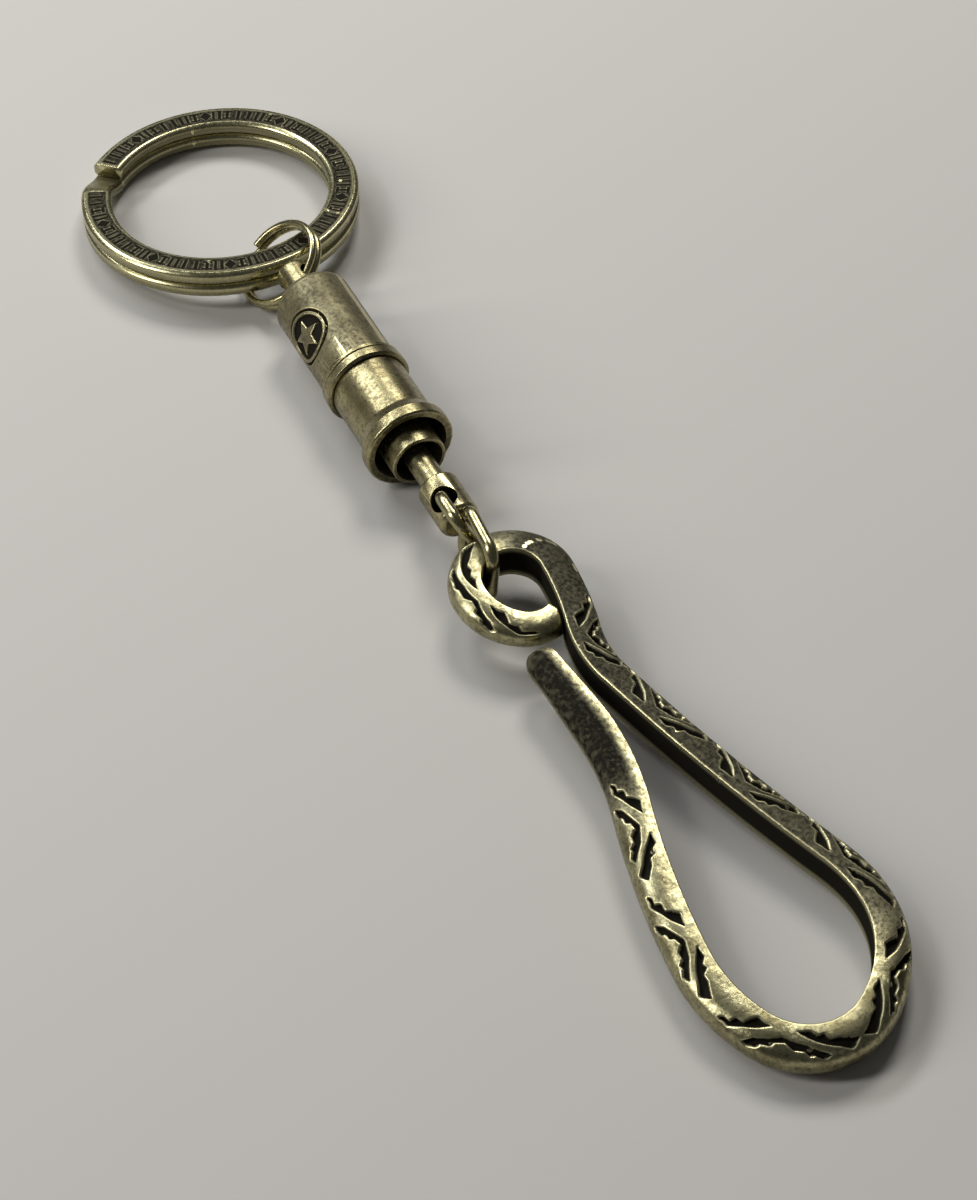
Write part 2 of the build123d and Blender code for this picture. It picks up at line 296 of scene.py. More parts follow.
def bump(tree, height, strength, distance, below=None):
    """A layer of relief, laid on the normal of another layer."""
    node = add(tree, "ShaderNodeBump")
    node.inputs["Strength"].default_value = strength
    node.inputs["Distance"].default_value = distance * MM
    tree.links.new(height, node.inputs["Height"])
    if below:
        tree.links.new(below, node.inputs["Normal"])
    return node.outputs["Normal"]


PATINA_AND_SHADE_BLACK = (0.018, 0.016, 0.012)
FINE_SCALE, SPECK_SCALE, PIT_SCALE = 2200.0, 6000.0, 900.0
GRAIN_DEPTH, PIT_DEPTH = 0.03, 0.12


def brass(name, bright, deep, patina, wear=0.5, rough=0.3, grain=0.35, pits=0.3, blotch=220.0):
    """Aged brass: bright edges that are rubbed wear and painted highlights, olive patina in hollows and
    blotches, near-black patina and painted shade where the mesh marks it, fine grain.
    """
    material, tree, surface = node_tree(name)
    coords = add(tree, "ShaderNodeTexCoord").outputs["Object"]
    point = add(tree, "ShaderNodeNewGeometry").outputs["Pointiness"]
    shade_and_patina_mark = add(tree, "ShaderNodeAttribute", attribute_name="patina_and_shade").outputs["Fac"]
    rubbed_and_highlit = add(tree, "ShaderNodeAttribute", attribute_name="rub_and_highlight").outputs["Fac"]
    large = noise(tree, coords, blotch, 5)
    fine = noise(tree, coords, FINE_SCALE, 6, 0.7)
    speck = noise(tree, coords, SPECK_SCALE, 3, 0.8)
    # bright edges: rubbed wear plus painted edge highlights on convex points and along marked edges
    edge = maths(tree, "ADD", grey(tree, point, 0.505, 0.56),
                 maths(tree, "MULTIPLY", rubbed_and_highlit, grey(tree, fine, 0.2, 0.5)))
    crease = grey(tree, point, 0.495, 0.44)

    # thin patina in blotches and specks
    stain = maths(tree, "MULTIPLY", grey(tree, fine, 0.47, 0.64), 1 - wear)
    specks = maths(tree, "MULTIPLY", grey(tree, speck, 0.55, 0.7), 0.5 * (1 - wear))
    body = mix(tree, grey(tree, large, 0.38, 0.72), bright, deep)
    body = mix(tree, stain, body, patina)
    body = mix(tree, specks, body, patina)

    # thick patina and painted shade first settle in the pores, so a part-aged or part-shaded face looks
    # speckled
    pores = maths(tree, "ADD", shade_and_patina_mark, maths(tree, "MULTIPLY", fine, 0.45), clamp=False)
    dark = maths(tree, "ADD", grey(tree, pores, 0.28, 0.98), maths(tree, "MULTIPLY", crease, 0.6))
    body = mix(tree, dark, body, PATINA_AND_SHADE_BLACK)
    # painted edge highlight: edges are mixed towards a paler, brighter brass
    polish_and_highlight = tuple(min(1, 1.4 * channel) for channel in bright)
    body = mix(tree, maths(tree, "MULTIPLY", edge, 0.85), body, polish_and_highlight)
    tree.links.new(body, surface.inputs["Base Color"])

    # the thick patina and painted shade are not metallic, and duller
    dark = maths(tree, "SUBTRACT", dark, edge)
    metal = maths(tree, "SUBTRACT", 1.0, dark)
    tree.links.new(metal, surface.inputs["Metallic"])
    tree.links.new(maths(tree, "MULTIPLY", metal, 0.5), surface.inputs["Specular IOR Level"])
    roughness = maths(tree, "ADD", rough, maths(tree, "MULTIPLY", grey(tree, fine, 0.3, 0.8), 0.2))
    roughness = maths(tree, "ADD", roughness, maths(tree, "MULTIPLY", dark, 0.3))
    tree.links.new(roughness, surface.inputs["Roughness"])

    height = maths(tree, "ADD", maths(tree, "MULTIPLY", speck, 0.4), maths(tree, "MULTIPLY", fine, 0.6))
    pitted = bump(tree, noise(tree, coords, PIT_SCALE, 2), pits, PIT_DEPTH)
    tree.links.new(bump(tree, height, grain, GRAIN_DEPTH, pitted), surface.inputs["Normal"])
    return material


hook_brass = brass("hook_brass", (0.46, 0.425, 0.245), (0.19, 0.165, 0.08), (0.035, 0.033, 0.022),
                   wear=0.35, rough=0.24, grain=0.8, pits=0.35, blotch=420.0)
ring_brass = brass("ring_brass", (0.45, 0.415, 0.24), (0.22, 0.195, 0.10), (0.03, 0.03, 0.02),
                   wear=0.72, rough=0.17, grain=0.2, pits=0.06, blotch=200.0)
turned = brass("turned_brass", (0.40, 0.355, 0.19), (0.20, 0.165, 0.08), (0.05, 0.042, 0.024),
               wear=0.4, rough=0.20, grain=0.7, pits=0.08, blotch=260.0)
wire_brass = brass("wire_brass", (0.44, 0.40, 0.22), (0.18, 0.155, 0.075), (0.04, 0.036, 0.02),
                   wear=0.5, rough=0.17, grain=0.25, pits=0.08, blotch=300.0)
steel = brass("bright_steel", (0.62, 0.62, 0.60), (0.5, 0.5, 0.5), (0.2, 0.2, 0.2), rough=0.25)

# ---------------------------------------------------------------- barrel, with its roundel and neck
TINY = 0.01    # turned ends stop just short of the axis
BARREL_R, BARREL_BACK, BARREL_FRONT, SHOULDER = 4.4, -26.0, -12.4, 1.3
COLLAR_SEAT_R, COLLAR_BACK = 4.05, -13.6
TUBE_R, TUBE_BACK, TUBE_FRONT = 3.1, -17.0, 2.2
NECK_R, NECK_END, NECK_HOLE_S, NECK_HOLE_R = 1.9, -31.0, -28.9, 1.24
NECK_LEAN = math.radians(50)

BADGE_S, BADGE_TURN, BADGE_DEPTH = -18.6, math.radians(61), 0.3
GROOVE_INSIDE, GROOVE_OUTSIDE, DISH_R = 2.90, 3.3, 2.6
STAR_TIP, STAR_NOTCH, STAR_RISE = 2.15, 0.95, 0.72
SOFT_EDGE = 0.07


def star_field(x, y, outer, inner):
    """Distance to the sides of a five-pointed star, negative inside."""
    fold = math.pi / 5
    angle = np.abs((np.arctan2(x, y) + fold) % (2 * fold) - fold)
    rad = np.hypot(x, y)
    px, py = rad * np.cos(angle), rad * np.sin(angle)
    tip = np.array([outer, 0.0])
    notch = np.array([inner * math.cos(fold), inner * math.sin(fold)])
    along = unit(notch - tip)
    return -(along[0] * (py - tip[1]) - along[1] * (px - tip[0]))


def badge(s, r, th):
    """Sinks the roundel into the barrel's side."""
    turn = (th + BADGE_TURN + math.pi) % FULL_TURN - math.pi
    x, y = s - BADGE_S, BARREL_R * turn
    rad = np.hypot(x, y)
    groove = (smooth(GROOVE_INSIDE, GROOVE_INSIDE + SOFT_EDGE, rad)
              * (1 - smooth(GROOVE_OUTSIDE - SOFT_EDGE, GROOVE_OUTSIDE, rad)))
    dish = 1 - smooth(DISH_R - SOFT_EDGE, DISH_R, rad)
    star = 1 - smooth(-0.06, 0.06, star_field(x, y, STAR_TIP, STAR_NOTCH))
    sink = BADGE_DEPTH * np.maximum(groove, dish * (1 - STAR_RISE * star))
    near = r > BARREL_R - 0.2
    mark = np.where(near, np.maximum(groove, dish * (1 - star)) * 0.9, 0)
    return np.where(near, r - sink, r), mark


def barrel_profile():
    """The barrel's outline, with close rows under the roundel."""
    line = rounded_profile([
        (BARREL_BACK, NECK_R), (BARREL_BACK, BARREL_R, SHOULDER), (BARREL_FRONT, BARREL_R),
        (BARREL_FRONT, COLLAR_SEAT_R), (COLLAR_BACK, COLLAR_SEAT_R), (COLLAR_BACK, TUBE_R),
        (TUBE_BACK, TUBE_R), (TUBE_BACK, 2 * TINY)], arc_steps=8)
    behind = (line[:, 1] > BARREL_R - 0.01) & (line[:, 0] < BADGE_S - GROOVE_OUTSIDE)
    split = np.where(behind)[0].max() + 1
    rows = np.linspace(BADGE_S - 3.4, BADGE_S + 3.4, 116)
    return np.vstack([line[:split], np.stack([rows, np.full(len(rows), BARREL_R)], 1), line[split:]])


def barrel_angles():
    """Close angles over the roundel and wider ones around the rest."""
    window = 3.5 / BARREL_R
    fine = np.linspace(-BADGE_TURN - window, -BADGE_TURN + window, 118)
    rest = np.linspace(-BADGE_TURN + window, -BADGE_TURN - window + FULL_TURN, 110)[1:-1]
    return np.concatenate([fine, rest])


lathe("barrel_body", barrel_profile(), "housing", "barrel", turned, angles=barrel_angles(),
      shape=badge, patina_and_shade=lambda s, r: np.where(r > 4.0, 0.40, 0))
NECK_ROOT = BARREL_BACK + 0.1
neck = lathe("barrel_neck", rounded_profile([
    (NECK_END, TINY), (NECK_END, NECK_R, 0.5), (NECK_ROOT, NECK_R, 0.02), (NECK_ROOT, TINY)],
    arc_steps=6), "housing", None, turned, segments=96)
cross_hole(neck, NECK_HOLE_S, NECK_LEAN, NECK_HOLE_R, "neck_tool")

# ---------------------------------------------------------------- guide band and socket tube
BAND_R, BAND_FRONT, BEAD_R, BAND_GROOVE_R = 4.85, -10.3, 4.76, 4.62
BAND_BORE_R, BAND_BORE_BACK = 4.36, -12.3
lathe("guide_band", rounded_profile([
    (COLLAR_BACK, 3.12), (COLLAR_BACK, 4.04), (-12.38, 4.04), (-12.38, 4.6), (-12.2, BEAD_R),
    (-11.75, BEAD_R), (-11.68, BAND_GROOVE_R), (-11.58, BAND_GROOVE_R), (-11.5, BAND_R, 0.1),
    (-10.5, BAND_R, 0.1), (BAND_FRONT, 4.58), (BAND_FRONT, BAND_BORE_R),
    (BAND_BORE_BACK, BAND_BORE_R), (BAND_BORE_BACK, 3.12), (COLLAR_BACK, 3.12)], radius=0.06),
    "housing", "guide_collar", turned,
    patina_and_shade=lambda s, r: np.where((r > 4.58) & (r < 4.7) & (s < -11.5) & (s > -11.75), 0.8, 0))

TUBE_BORE_R, TUBE_BORE_END, MOUTH_R, MOUTH_BACK = 2.3, -12.0, 2.7, -1.0
CLIP_GROOVE_R, CLIP_GROOVE_BACK, CLIP_GROOVE_FRONT = 2.85, -4.5, -4.05
# the mouth and bore get painted shade that deepens inwards
lathe("inner_tube", rounded_profile([
    (TUBE_BACK, 2 * TINY), (TUBE_BACK, TUBE_R), (CLIP_GROOVE_BACK, TUBE_R),
    (CLIP_GROOVE_BACK, CLIP_GROOVE_R), (CLIP_GROOVE_FRONT, CLIP_GROOVE_R),
    (CLIP_GROOVE_FRONT, TUBE_R), (TUBE_FRONT, 3.08, 0.14), (TUBE_FRONT, MOUTH_R),
    (MOUTH_BACK, MOUTH_R), (MOUTH_BACK, TUBE_BORE_R), (TUBE_BORE_END, TUBE_BORE_R),
    (TUBE_BORE_END, 2 * TINY)], radius=0.05),
    "housing", "socket_tube", turned,
    patina_and_shade=lambda s, r: np.where(r < 2.75, smooth(2.1, 1.2, s) * 0.9, 0))

# ---------------------------------------------------------------- release sleeve
SLEEVE_R, SLEEVE_BACK, FLANGE_R = 4.3, -10.45, 5.06
SLEEVE_BORE_R, BALL_LAND_R = 3.87, 3.52
# the sleeve's bore and front recess get painted shade that deepens inwards
lathe("sleeve", rounded_profile([
    (SLEEVE_BACK, SLEEVE_BORE_R), (SLEEVE_BACK, SLEEVE_R), (-3.0, SLEEVE_R, 1.2), (-1.65, 4.78, 0.5),
    (-1.5, FLANGE_R, 0.12), (0.0, FLANGE_R, 0.3), (0.0, 4.2, 0.08), (-0.5, 4.05), (-2.9, 4.05),
    (-3.5, SLEEVE_BORE_R), (-5.6, BALL_LAND_R), (-8.0, BALL_LAND_R), (-8.0, SLEEVE_BORE_R),
    (SLEEVE_BACK, SLEEVE_BORE_R)], radius=0.06, arc_steps=6),
    "release_sleeve", "release_sleeve", turned,
    patina_and_shade=lambda s, r: np.where((r < 4.1) & (s > -9), smooth(-0.3, -1.2, s) * 0.9, 0))

# ---------------------------------------------------------------- plug and locking balls
NOSE_R, STEM_R, CLEVIS_R, CLEVIS_BACK, CLEVIS_FRONT = 2.25, 1.43, 2.28, 6.5, 12.2
BALL_S, BALL_R, BALL_OFF_AXIS = -5.6, 0.745, 2.75
PLUG_HOLE_S, PLUG_HOLE_R, HOLE_LEAN = 9.9, 1.55, math.radians(-28)
plug = lathe("plug_body", rounded_profile([
    (-11.0, TINY), (-11.0, 1.55), (-10.0, NOSE_R), (BALL_S - 0.76, NOSE_R), (BALL_S, 1.88, 0.4),
    (BALL_S + 0.76, NOSE_R), (-3.5, NOSE_R), (-2.9, STEM_R), (CLEVIS_BACK, STEM_R),
    (CLEVIS_BACK, CLEVIS_R, 0.3), (CLEVIS_FRONT, CLEVIS_R, 0.6), (CLEVIS_FRONT, TINY)],
    radius=0.05, arc_steps=6), "plug", "plug", turned, segments=128)
cross_hole(plug, PLUG_HOLE_S, HOLE_LEAN, PLUG_HOLE_R, "plug_tool")

for number in range(4):
    turn = math.radians(45 + 90 * number)
    seat = np.array([BALL_S, BALL_OFF_AXIS * math.sin(turn), AXIS_Z + BALL_OFF_AXIS * math.cos(turn)])
    lat, lon = np.meshgrid(np.linspace(0.02, math.pi - 0.02, 24), even_angles(32), indexing="ij")
    ball = np.stack([np.cos(lat), np.sin(lat) * np.cos(lon), np.sin(lat) * np.sin(lon)], -1)
    node = f"ball_{number + 1}"
    mesh_from_grid(f"lock_{node}", seat + BALL_R * ball, node, node, steel,
                   caps=("first", "last"))

# ---------------------------------------------------------------- chain links
LINK_WIRE_R, LINK_CORNER_R = 0.7, 1.7


def link_path(back, front, half, lean, turn):
    """Points of a rounded rectangle that starts on the axis, and the way it runs and stands."""
    signs = [(-1, -1), (1, -1), (1, 1), (-1, 1)]
    corners = [(front, half), (back, half), (back, -half), (front, -half)]
    outline = []
    for number, ((x, y), (sx, sy)) in enumerate(zip(corners, signs)):
        for k in range(13):
            a = math.radians(90 * number + 90 * k / 12)
            outline.append((x + sx * LINK_CORNER_R + LINK_CORNER_R * math.cos(a),
                            y + sy * LINK_CORNER_R + LINK_CORNER_R * math.sin(a)))
    dense = []
    for p, q in zip(outline, outline[1:] + outline[:1]):
        steps = max(1, int(math.hypot(q[0] - p[0], q[1] - p[1]) / 0.35))
        for k in range(steps):
            dense.append((p[0] + (q[0] - p[0]) * k / steps, p[1] + (q[1] - p[1]) * k / steps))
    lean, turn = math.radians(lean), math.radians(turn)
    ahead = np.array([math.cos(turn), math.sin(turn), 0])
    upright = np.array([-math.sin(turn) * math.sin(lean), math.cos(turn) * math.sin(lean),
                        math.cos(lean)])
    start = np.array([back, 0, AXIS_Z])
    return np.array([start + (x - back) * ahead + y * upright for x, y in dense]), ahead, upright


LINKS = {
    "link_a": dict(back=9.6, front=14.62, half=3.1, lean=-28, turn=0),
    "link_b": dict(back=13.15, front=20.7, half=3.35, lean=4, turn=-5),
}
for node, place in LINKS.items():
    path, ahead, upright = link_path(**place)
    tube_along(f"chain_{node}", path, LINK_WIRE_R, node, node, np.cross(ahead, upright), around=32)

# ---------------------------------------------------------------- hook: route and section
# The bar's depth, half its height, and how square its D section is.
THICK, HALF, POWER = 3.7, 2.1, 2.6
# The knots are measured from the eye, in a frame that is turned and lifted towards the eye.
EYE = np.array([23.0, 0.9])
BEND_S, LIFT, TURN = 86.3, 2.5 / 62.0, math.radians(3.5)
FIRST_HEADING, ROUTE_STEP = math.radians(-63.0), 0.125
KNOTS = [
    (4.10, 1.45), (3.71, -1.53), (-1.0, -3.24), (-3.86, -0.82), (-0.50, 3.29), (7.41, 1.55),
    (15.29, 1.02), (20.97, 2.12), (44.16, 7.92), (47.91, 8.59), (54.33, 7.0), (59.04, 2.15),
    (59.78, -1.30), (56.44, -5.96), (47.95, -7.14), (30.73, -2.88), (18.0, -0.75), (7.9, -1.1),
]
CURL_KNOTS, CURL_END_SCALE = 4, 0.74
ARM_START, ARM_END = np.array(KNOTS[4]), np.array(KNOTS[5])
NOSE_LENGTH, TIP_TAPER, TIP_TAPER_LENGTH = 2.2, 0.16, 12.0


def arc_chain(knots):
    """Points, headings and lengths along tangent arcs through the knots."""
    rows, run, heading = [], 0.0, FIRST_HEADING
    for a, b in zip(knots[:-1], knots[1:]):
        a, b = np.array(a, float), np.array(b, float)
        chord = math.hypot(*(b - a))
        toward = math.atan2(b[1] - a[1], b[0] - a[0])
        half = (toward - heading + math.pi) % FULL_TURN - math.pi
        radius = chord / (2 * math.sin(half))
        length = abs(radius * 2 * half)
        count = max(2, int(length / ROUTE_STEP))
        for k in range(count):
            h = heading + 2 * half * k / count
            swing = np.array([math.sin(h) - math.sin(heading), math.cos(heading) - math.cos(h)])
            rows.append((*(a + radius * swing), h, run + length * k / count))
        heading += 2 * half
        run += length
    rows.append((*knots[-1], heading, run))
    return np.array(rows)


def d_section():
    """Outline of the bar: how far out, how high, and the distance round from the inner edge
    over the top, the outside and the underside. The flat inner face has the distance -1."""
    top = np.linspace(0, math.pi / 2, 700)
    out = THICK * np.sin(top) ** (2 / POWER)
    high = HALF * np.cos(top) ** (2 / POWER)
    around = np.concatenate([[0], np.cumsum(np.hypot(np.diff(out), np.diff(high)))])
    rows = [(np.interp(v, around, out), np.interp(v, around, high), v)
            for v in np.linspace(0, around[-1], 44)]
    rows += [(o, -h, 2 * around[-1] - v) for o, h, v in rows[-2:0:-3]]
    rows.append((0.0, -HALF, 2 * around[-1]))
    rows += [(0.0, h, -1.0) for h in np.linspace(-HALF, HALF, 9)[1:-1]]
    return np.array(rows)


def tapered(out, high, along, bar_length):
    """The curl grows from its cut end; the tip gets slimmer and ends in a round nose."""
    curl_length = arc_chain(KNOTS[:CURL_KNOTS])[-1, 3]
    grow = CURL_END_SCALE + (1 - CURL_END_SCALE) * np.clip(along / curl_length, 0, 1)
    out, high = out * grow, high * grow
    to_tip = bar_length - along
    slim = 1 - TIP_TAPER * smooth(TIP_TAPER_LENGTH, 2.0, to_tip)
    nose = np.sqrt(np.clip(1 - (1 - np.clip(to_tip / NOSE_LENGTH, 0, 1)) ** 2, 0.0009, 1))
    shrink = slim * nose
    out = THICK / 2 + (out - THICK / 2) * shrink - THICK / 2 * (1 - slim) * 0.4
    return out, high * shrink


# ---------------------------------------------------------------- hook: carving and hand-work
CARVE_DEPTH = 0.55
# one carved unit of three jagged strokes: (distance along the bar, distance round the section)
UNIT_LENGTH, UNIT_REACH = 12, 5.5
STROKES = [
    [(11.8, 3.4), (11.5, 3.0), (10.8, 3.0), (10.5, 2.3), (9.7, 2.25), (9.3, 1.5), (8.9, 1.0),
     (7.4, 1.1), (8.4, 2.0), (9.6, 2.7), (10.7, 3.5)],
    [(8.9, 3.9), (8.2, 3.0), (6.1, 1.7), (4.2, 2.1), (2.4, 3.2), (2.9, 3.7), (3.6, 3.2),
     (3.9, 3.3), (4.3, 2.8), (5.1, 2.8), (5.8, 2.2), (6.6, 2.5), (6.8, 3.0), (7.5, 3.2),
     (7.7, 3.7), (8.4, 4.1)],
    [(4.9, 0.9), (3.8, 0.7), (3.2, 1.2), (2.6, 1.1), (2.2, 1.7), (1.4, 1.8), (0.0, 2.6),
     (0.8, 3.4), (1.6, 2.7), (3.0, 2.0)],
]
# each unit's start along the bar, its direction, and its share of the full length
UNITS = [(109.5, 1, 1.0), (96.1, 1, 1.0), (84.4, 1, 0.87), (84.0, -1, 0.97), (71.8, -1, 1.0),
         (59.4, -1, 1.0), (47.0, -1, 1.0), (34.6, -1, 0.95), (12.6, -1, 0.9)]


def polygon_field(x, y, corners):
    """Distance to a polygon, negative inside."""
    best = np.full(x.shape, 1e9)
    inside = np.zeros(x.shape, bool)
    for (x0, y0), (x1, y1) in zip(corners, corners[1:] + corners[:1]):
        ex, ey = x1 - x0, y1 - y0
        t = np.clip(((x - x0) * ex + (y - y0) * ey) / (ex * ex + ey * ey), 0, 1)
        best = np.minimum(best, np.hypot(x - x0 - t * ex, y - y0 - t * ey))
        if ey:
            inside ^= ((y0 > y) != (y1 > y)) & (x < ex * (y - y0) / ey + x0)
    return np.where(inside, -best, best)


def carving(along, round_v):
    """How far each point is sunk by a stroke, and how sooty it is, from 0 to 1."""
    sink, soot = np.zeros_like(round_v), np.zeros_like(round_v)
    for start, way, share in UNITS:
        x = np.broadcast_to((along - start) * way / share, round_v.shape)
        close = (x > -1) & (x < UNIT_LENGTH + 1) & (round_v > 0) & (round_v < UNIT_REACH)
        for corners in STROKES:
            field = np.full(x.shape, 9.0)
            field[close] = polygon_field(x[close], round_v[close], corners)
            sink = np.maximum(sink, 1 - smooth(-0.12, 0.04, field))
            soot = np.maximum(soot, 1 - smooth(0.02, 0.10, field))
    return sink, soot


def ripples(rng, count, along, around, along_rates, around_rates):
    """The mean of many random waves over the bar's surface."""
    total = np.zeros(np.broadcast_shapes(along.shape, around.shape))
    for _ in range(count):
        fu, fv, phase = rng.uniform(*along_rates), rng.uniform(*around_rates), rng.uniform(0, 6.28)
        total += np.sin(fu * along + fv * around + phase) / count
    return total


def hand_work(along, round_v):
    """Slow waves over the whole bar, and finer hammer marks that grow on the plain tip."""
    rng = np.random.default_rng(7)
    waves = ripples(rng, 46, along, np.abs(round_v), (0.15, 1.5), (-1.2, 1.2))
    hammered = ripples(rng, 60, along, round_v, (1.5, 4.5), (-4, 4))
    plain = smooth(118, 124, along)
    return 0.08 * waves + (0.04 + 0.06 * plain) * hammered * (round_v > 0)


def pushed(out, high, shift):
    """The section's points moved along its outward normal."""
    slope_out, slope_high = np.gradient(out, axis=1), np.gradient(high, axis=1)
    length = np.hypot(slope_out, slope_high) + 1e-9
    return out - slope_high / length * shift, high + slope_out / length * shift


def cut_curl(lx, ly, along):
    """The curl's end is cut off flat beside the long arm."""
    arm_run = unit(ARM_END - ARM_START)
    arm_side = np.array([-arm_run[1], arm_run[0]])
    gap = 0.18
    over = (lx - ARM_START[0]) * arm_side[0] + (ly - ARM_START[1]) * arm_side[1] + gap
    curl = (along < 9) & (over > 0)
    return (np.where(curl, lx - over * arm_side[0], lx), np.where(curl, ly - over * arm_side[1], ly),
            curl)


def hook_shade_and_patina(along, round_v, soot, curl):
    """Black strokes of patina, dark long arm and tip; painted shade turns the inner wall black and
    darkens the underside and the cut end.
    """
    wall = (round_v < 0) * 1.0
    arm = smooth(12.5, 16, along) * (1 - smooth(68, 80, along)) * (0.66 - 0.08 * smooth(50, 72, along))
    top = smooth(0.2, 1.6, round_v) * (1 - smooth(4.2, 6.0, round_v))
    tip = smooth(112, 124, along) * 0.75 * top
    under = smooth(5.6, 7.4, round_v) * 0.5
    layers = np.broadcast_arrays(soot, wall, arm, tip, under, curl * 0.9)
    return np.clip(np.maximum.reduce(layers), 0, 1)


def make_hook():
    chain, section = arc_chain(KNOTS), d_section()
    x, y, head, along = (chain[:, k][:, None] for k in range(4))
    out, high, round_v = (np.repeat(section[:, k][None], len(chain), 0) for k in range(3))
    out, high = tapered(out, high, along, chain[-1, 3])
    sink, soot = carving(along, round_v)
    shift = hand_work(along, round_v) - CARVE_DEPTH * sink - 0.05
    out, high = pushed(out, high, np.where(round_v < 0, -0.02, shift))
    lx, ly, curl = cut_curl(x - np.sin(head) * out, y + np.cos(head) * out, along)

    hook_up = unit([LIFT, 0, 1])
    hook_x = unit([math.cos(TURN), math.sin(TURN), -LIFT * math.cos(TURN)])
    hook_y = np.cross(hook_up, hook_x)
    eye_at = np.array([EYE[0], EYE[1], HALF + LIFT * (BEND_S - EYE[0])])
    grid = eye_at + lx[..., None] * hook_x + ly[..., None] * hook_y + high[..., None] * hook_up
    # the inner top edge gets a painted highlight line
    inner_edge = (round_v >= 0) & (round_v < 0.1)
    mesh_from_grid("carved_hook", grid, "hook", "hook", hook_brass,
                   caps=("first", "last"), patina_and_shade=hook_shade_and_patina(along, round_v, soot, curl),
                   rub_and_highlight=inner_edge * 0.6)


make_hook()

# ---------------------------------------------------------------- split rings
RING_CENTRE, RING_TILT = np.array([-48.3, -1.3, 2.8]), math.radians(4.1)
RING_MEAN_R, RING_PITCH, RING_START, RING_RAMP, RING_STEP = 14.3, 1.72, -136.0, 20.0, 0.45
RING_HALF_WIDE, RING_HALF_HIGH, RING_BEVEL, TOP_POINTS = 1.7, 0.81, 0.35, 30
MARK_CELL, MARK_HALF, MARK_DEPTH = 5.2, 0.78, 0.07
NOT_TOP = -9.0

SMALL_CENTRE, SMALL_R, SMALL_WIRE_R = np.array([-33.6, -0.2, 4.1]), 5.0, 0.43
SMALL_YAW, SMALL_LEAN = math.radians(-8.0), math.radians(51.0)
SMALL_PITCH, SMALL_START, SMALL_RAMP, SMALL_STEP = 0.9, 200.0, 30.0, 3.0


def coil_points(start, ramp_angle, pitch, step):
    """Angle and height along a two-turn coil: lower turn, ramp, upper turn."""
    first = np.arange(start + ramp_angle - 360, start, step)
    climb = np.linspace(start, start + ramp_angle, 14)
    second = np.arange(start + ramp_angle, start + 360 - 0.001, step)
    angle = np.concatenate([first, climb[:-1], second, [start + 360]])
    share = np.clip((angle - start) / ramp_angle, 0, 1)
    height = pitch * (3 * share**2 - 2 * share**3) - pitch / 2
    return angle, height


def flat_section():
    """Bevelled flat wire: outward, up, and the distance across the top face or NOT_TOP."""
    wide, high, bevel, ease = RING_HALF_WIDE, RING_HALF_HIGH, RING_BEVEL, 0.04
    rows = [(w, high, w) for w in np.linspace(-wide + bevel, wide - bevel, TOP_POINTS)]
    rest = [(wide - ease, high - bevel + ease), (wide, high - bevel), (wide, 0),
            (wide, -high + bevel), (wide - bevel, -high), (0, -high),
            (-wide + bevel, -high), (-wide, -high + bevel), (-wide, 0),
            (-wide, high - bevel), (-wide + ease, high - bevel + ease)]
    return np.array(rows + [(w, h, NOT_TOP) for w, h in rest])


def engraving(angle, across):
    """Generic band of bars, pairs of bars, barred bars and diamonds; angle is in degrees."""
    place = np.abs((angle % MARK_CELL) / MARK_CELL - 0.5) * MARK_CELL
    number = np.floor(angle / MARK_CELL).astype(int) % 7
    beside = place * 0.25
    tall = np.abs(across) - MARK_HALF
    bar = np.maximum(beside - 0.16, tall)
    diamond = beside + np.abs(across) * 0.8 - 0.62
    pair = np.maximum(np.abs(beside - 0.36) - 0.13, tall)
    barred = np.minimum(bar, np.maximum(np.abs(np.abs(across) - 0.62) - 0.13, beside - 0.5))
    kinds = [bar, barred, pair, diamond, barred, pair, bar]
    field = np.select([number == k for k in range(7)], kinds)
    return 1 - smooth(-0.05, 0.05, field)


def make_flat_ring():
    degrees, lift = coil_points(RING_START, RING_RAMP, RING_PITCH, RING_STEP)
    section = flat_section()
    shape = (len(degrees), len(section))
    angle = np.radians(degrees)[:, None]
    across = np.broadcast_to(section[:, 2], shape)
    upper_turn = degrees > RING_START + RING_RAMP
    upper = upper_turn[:, None] & (across > NOT_TOP)
    marks = engraving(np.broadcast_to(degrees[:, None], shape), across)
    mark = np.where(upper, marks, 0)
    high = section[:, 1] + lift[:, None] - MARK_DEPTH * mark

    ring_x = np.array([math.cos(RING_TILT), 0, math.sin(RING_TILT)])
    ring_y = np.array([0, 1.0, 0])
    ring_z = np.cross(ring_x, ring_y)
    radial = np.cos(angle)[..., None] * ring_x + np.sin(angle)[..., None] * ring_y
    grid = RING_CENTRE + radial * (RING_MEAN_R + section[:, 0])[:, None] + high[..., None] * ring_z

    # a dark marked band between rubbed bevels that also carry painted highlights; elsewhere painted
    # shade darkens the lower turn's top, the walls and the underside, most on the inner wall
    band = 1 - smooth(0.95, 1.3, np.abs(across + 0.1))
    plain_shade = np.concatenate([np.full(TOP_POINTS, 0.3),
                                [0, 0, 0.4, 0.5, 0.5, 0.6, 0.6, 0.75, 0.85, 0.3, 0]])
    rubbed_and_highlit = np.maximum(smooth(1.15, 1.32, across), smooth(-1.2, -1.34, across))
    mesh_from_grid("flat_split_ring", grid, "main_ring", "main_split_ring", ring_brass,
                   caps=("first", "last"), patina_and_shade=np.where(upper, 0.72 * band + 0.25 * mark, plain_shade),
                   rub_and_highlight=np.where(upper, rubbed_and_highlit, 0) * 0.8)


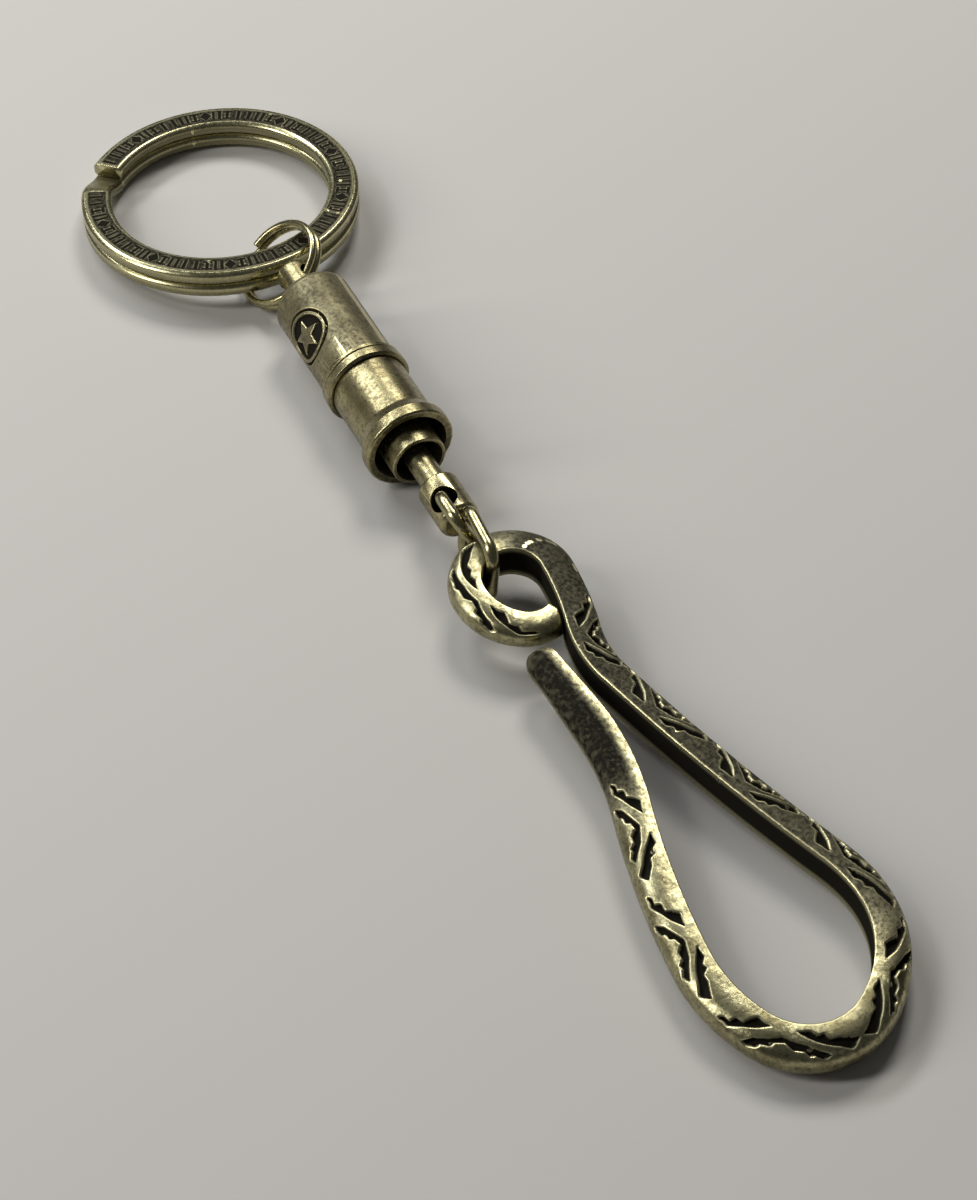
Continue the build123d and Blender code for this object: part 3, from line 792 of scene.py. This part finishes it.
def make_round_ring():
    degrees, lift = coil_points(SMALL_START, SMALL_RAMP, SMALL_PITCH, SMALL_STEP)
    run = np.array([math.cos(SMALL_YAW), math.sin(SMALL_YAW), 0])
    rise = np.array([-math.sin(SMALL_YAW) * math.sin(SMALL_LEAN),
                     math.cos(SMALL_YAW) * math.sin(SMALL_LEAN), math.cos(SMALL_LEAN)])
    normal = np.cross(run, rise)
    angle = np.radians(degrees)[:, None]
    path = (SMALL_CENTRE + SMALL_R * (np.cos(angle) * run + np.sin(angle) * rise)
            + lift[:, None] * normal)
    tube_along("round_split_ring", path, SMALL_WIRE_R, "small_ring", "small_split_ring", normal,
               closed=False)


make_flat_ring()
make_round_ring()

# ---------------------------------------------------------------- hidden pieces keep their CAD shape
for node_name in ("return_spring", "retaining_clip"):
    for material_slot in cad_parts[node_name].material_slots:
        material_slot.material = steel

# ---------------------------------------------------------------- stage, light, camera
FLOOR_HALF = 2.5    # metres
floor_mesh = bpy.data.meshes.new("floor")
floor_corners = [(FLOOR_HALF * x, FLOOR_HALF * y, 0) for x, y in ((-1, -1), (1, -1), (1, 1), (-1, 1))]
floor_mesh.from_pydata(floor_corners, [], [(0, 1, 2, 3)])
floor = bpy.data.objects.new("floor", floor_mesh)
bpy.context.collection.objects.link(floor)
floor_material, _, surface = node_tree("pale_floor")
surface.inputs["Base Color"].default_value = (0.56, 0.54, 0.51, 1)
surface.inputs["Roughness"].default_value = 0.85
floor_mesh.materials.append(floor_material)


def aimed(obj, place, aim):
    obj.location = place
    obj.rotation_euler = (Vector(aim) - Vector(place)).to_track_quat("-Z", "Y").to_euler()
    bpy.context.collection.objects.link(obj)


def area_light(name, place, width, height, power, colour):
    """A rectangle of light aimed at the object's middle; metres and watts."""
    data = bpy.data.lights.new(name, "AREA")
    data.shape = "RECTANGLE"
    data.size, data.size_y = width, height
    data.energy = power
    data.color = colour
    aimed(bpy.data.objects.new(name, data), place, (0, 0, 0))


area_light("key", (-0.32, 0.24, 0.48), 0.20, 0.20, 1.7, (1.0, 0.98, 0.94))
area_light("left", (-0.15, -0.50, 0.38), 0.10, 0.42, 1.9, (1.0, 0.99, 0.96))
area_light("top", (-0.45, -0.14, 0.42), 0.42, 0.10, 1.8, (0.94, 0.97, 1.0))

world = bpy.data.worlds.new("soft")
bpy.context.scene.world = world
world.use_nodes = True
world.node_tree.nodes["Background"].inputs["Color"].default_value = (0.75, 0.78, 0.8, 1)
world.node_tree.nodes["Background"].inputs["Strength"].default_value = 0.08

camera_data = bpy.data.cameras.new("camera")
camera_data.sensor_fit = "HORIZONTAL"
camera_data.sensor_width = 36.0
camera_data.lens = 118.18
camera_data.clip_start = 0.01
camera = bpy.data.objects.new("camera", camera_data)
aimed(camera, to_world([218.8, -99.7, 247.7]), to_world([19.1, -0.27, 0.0]))
bpy.context.scene.camera = camera
bpy.context.scene.view_settings.view_transform = "Standard"
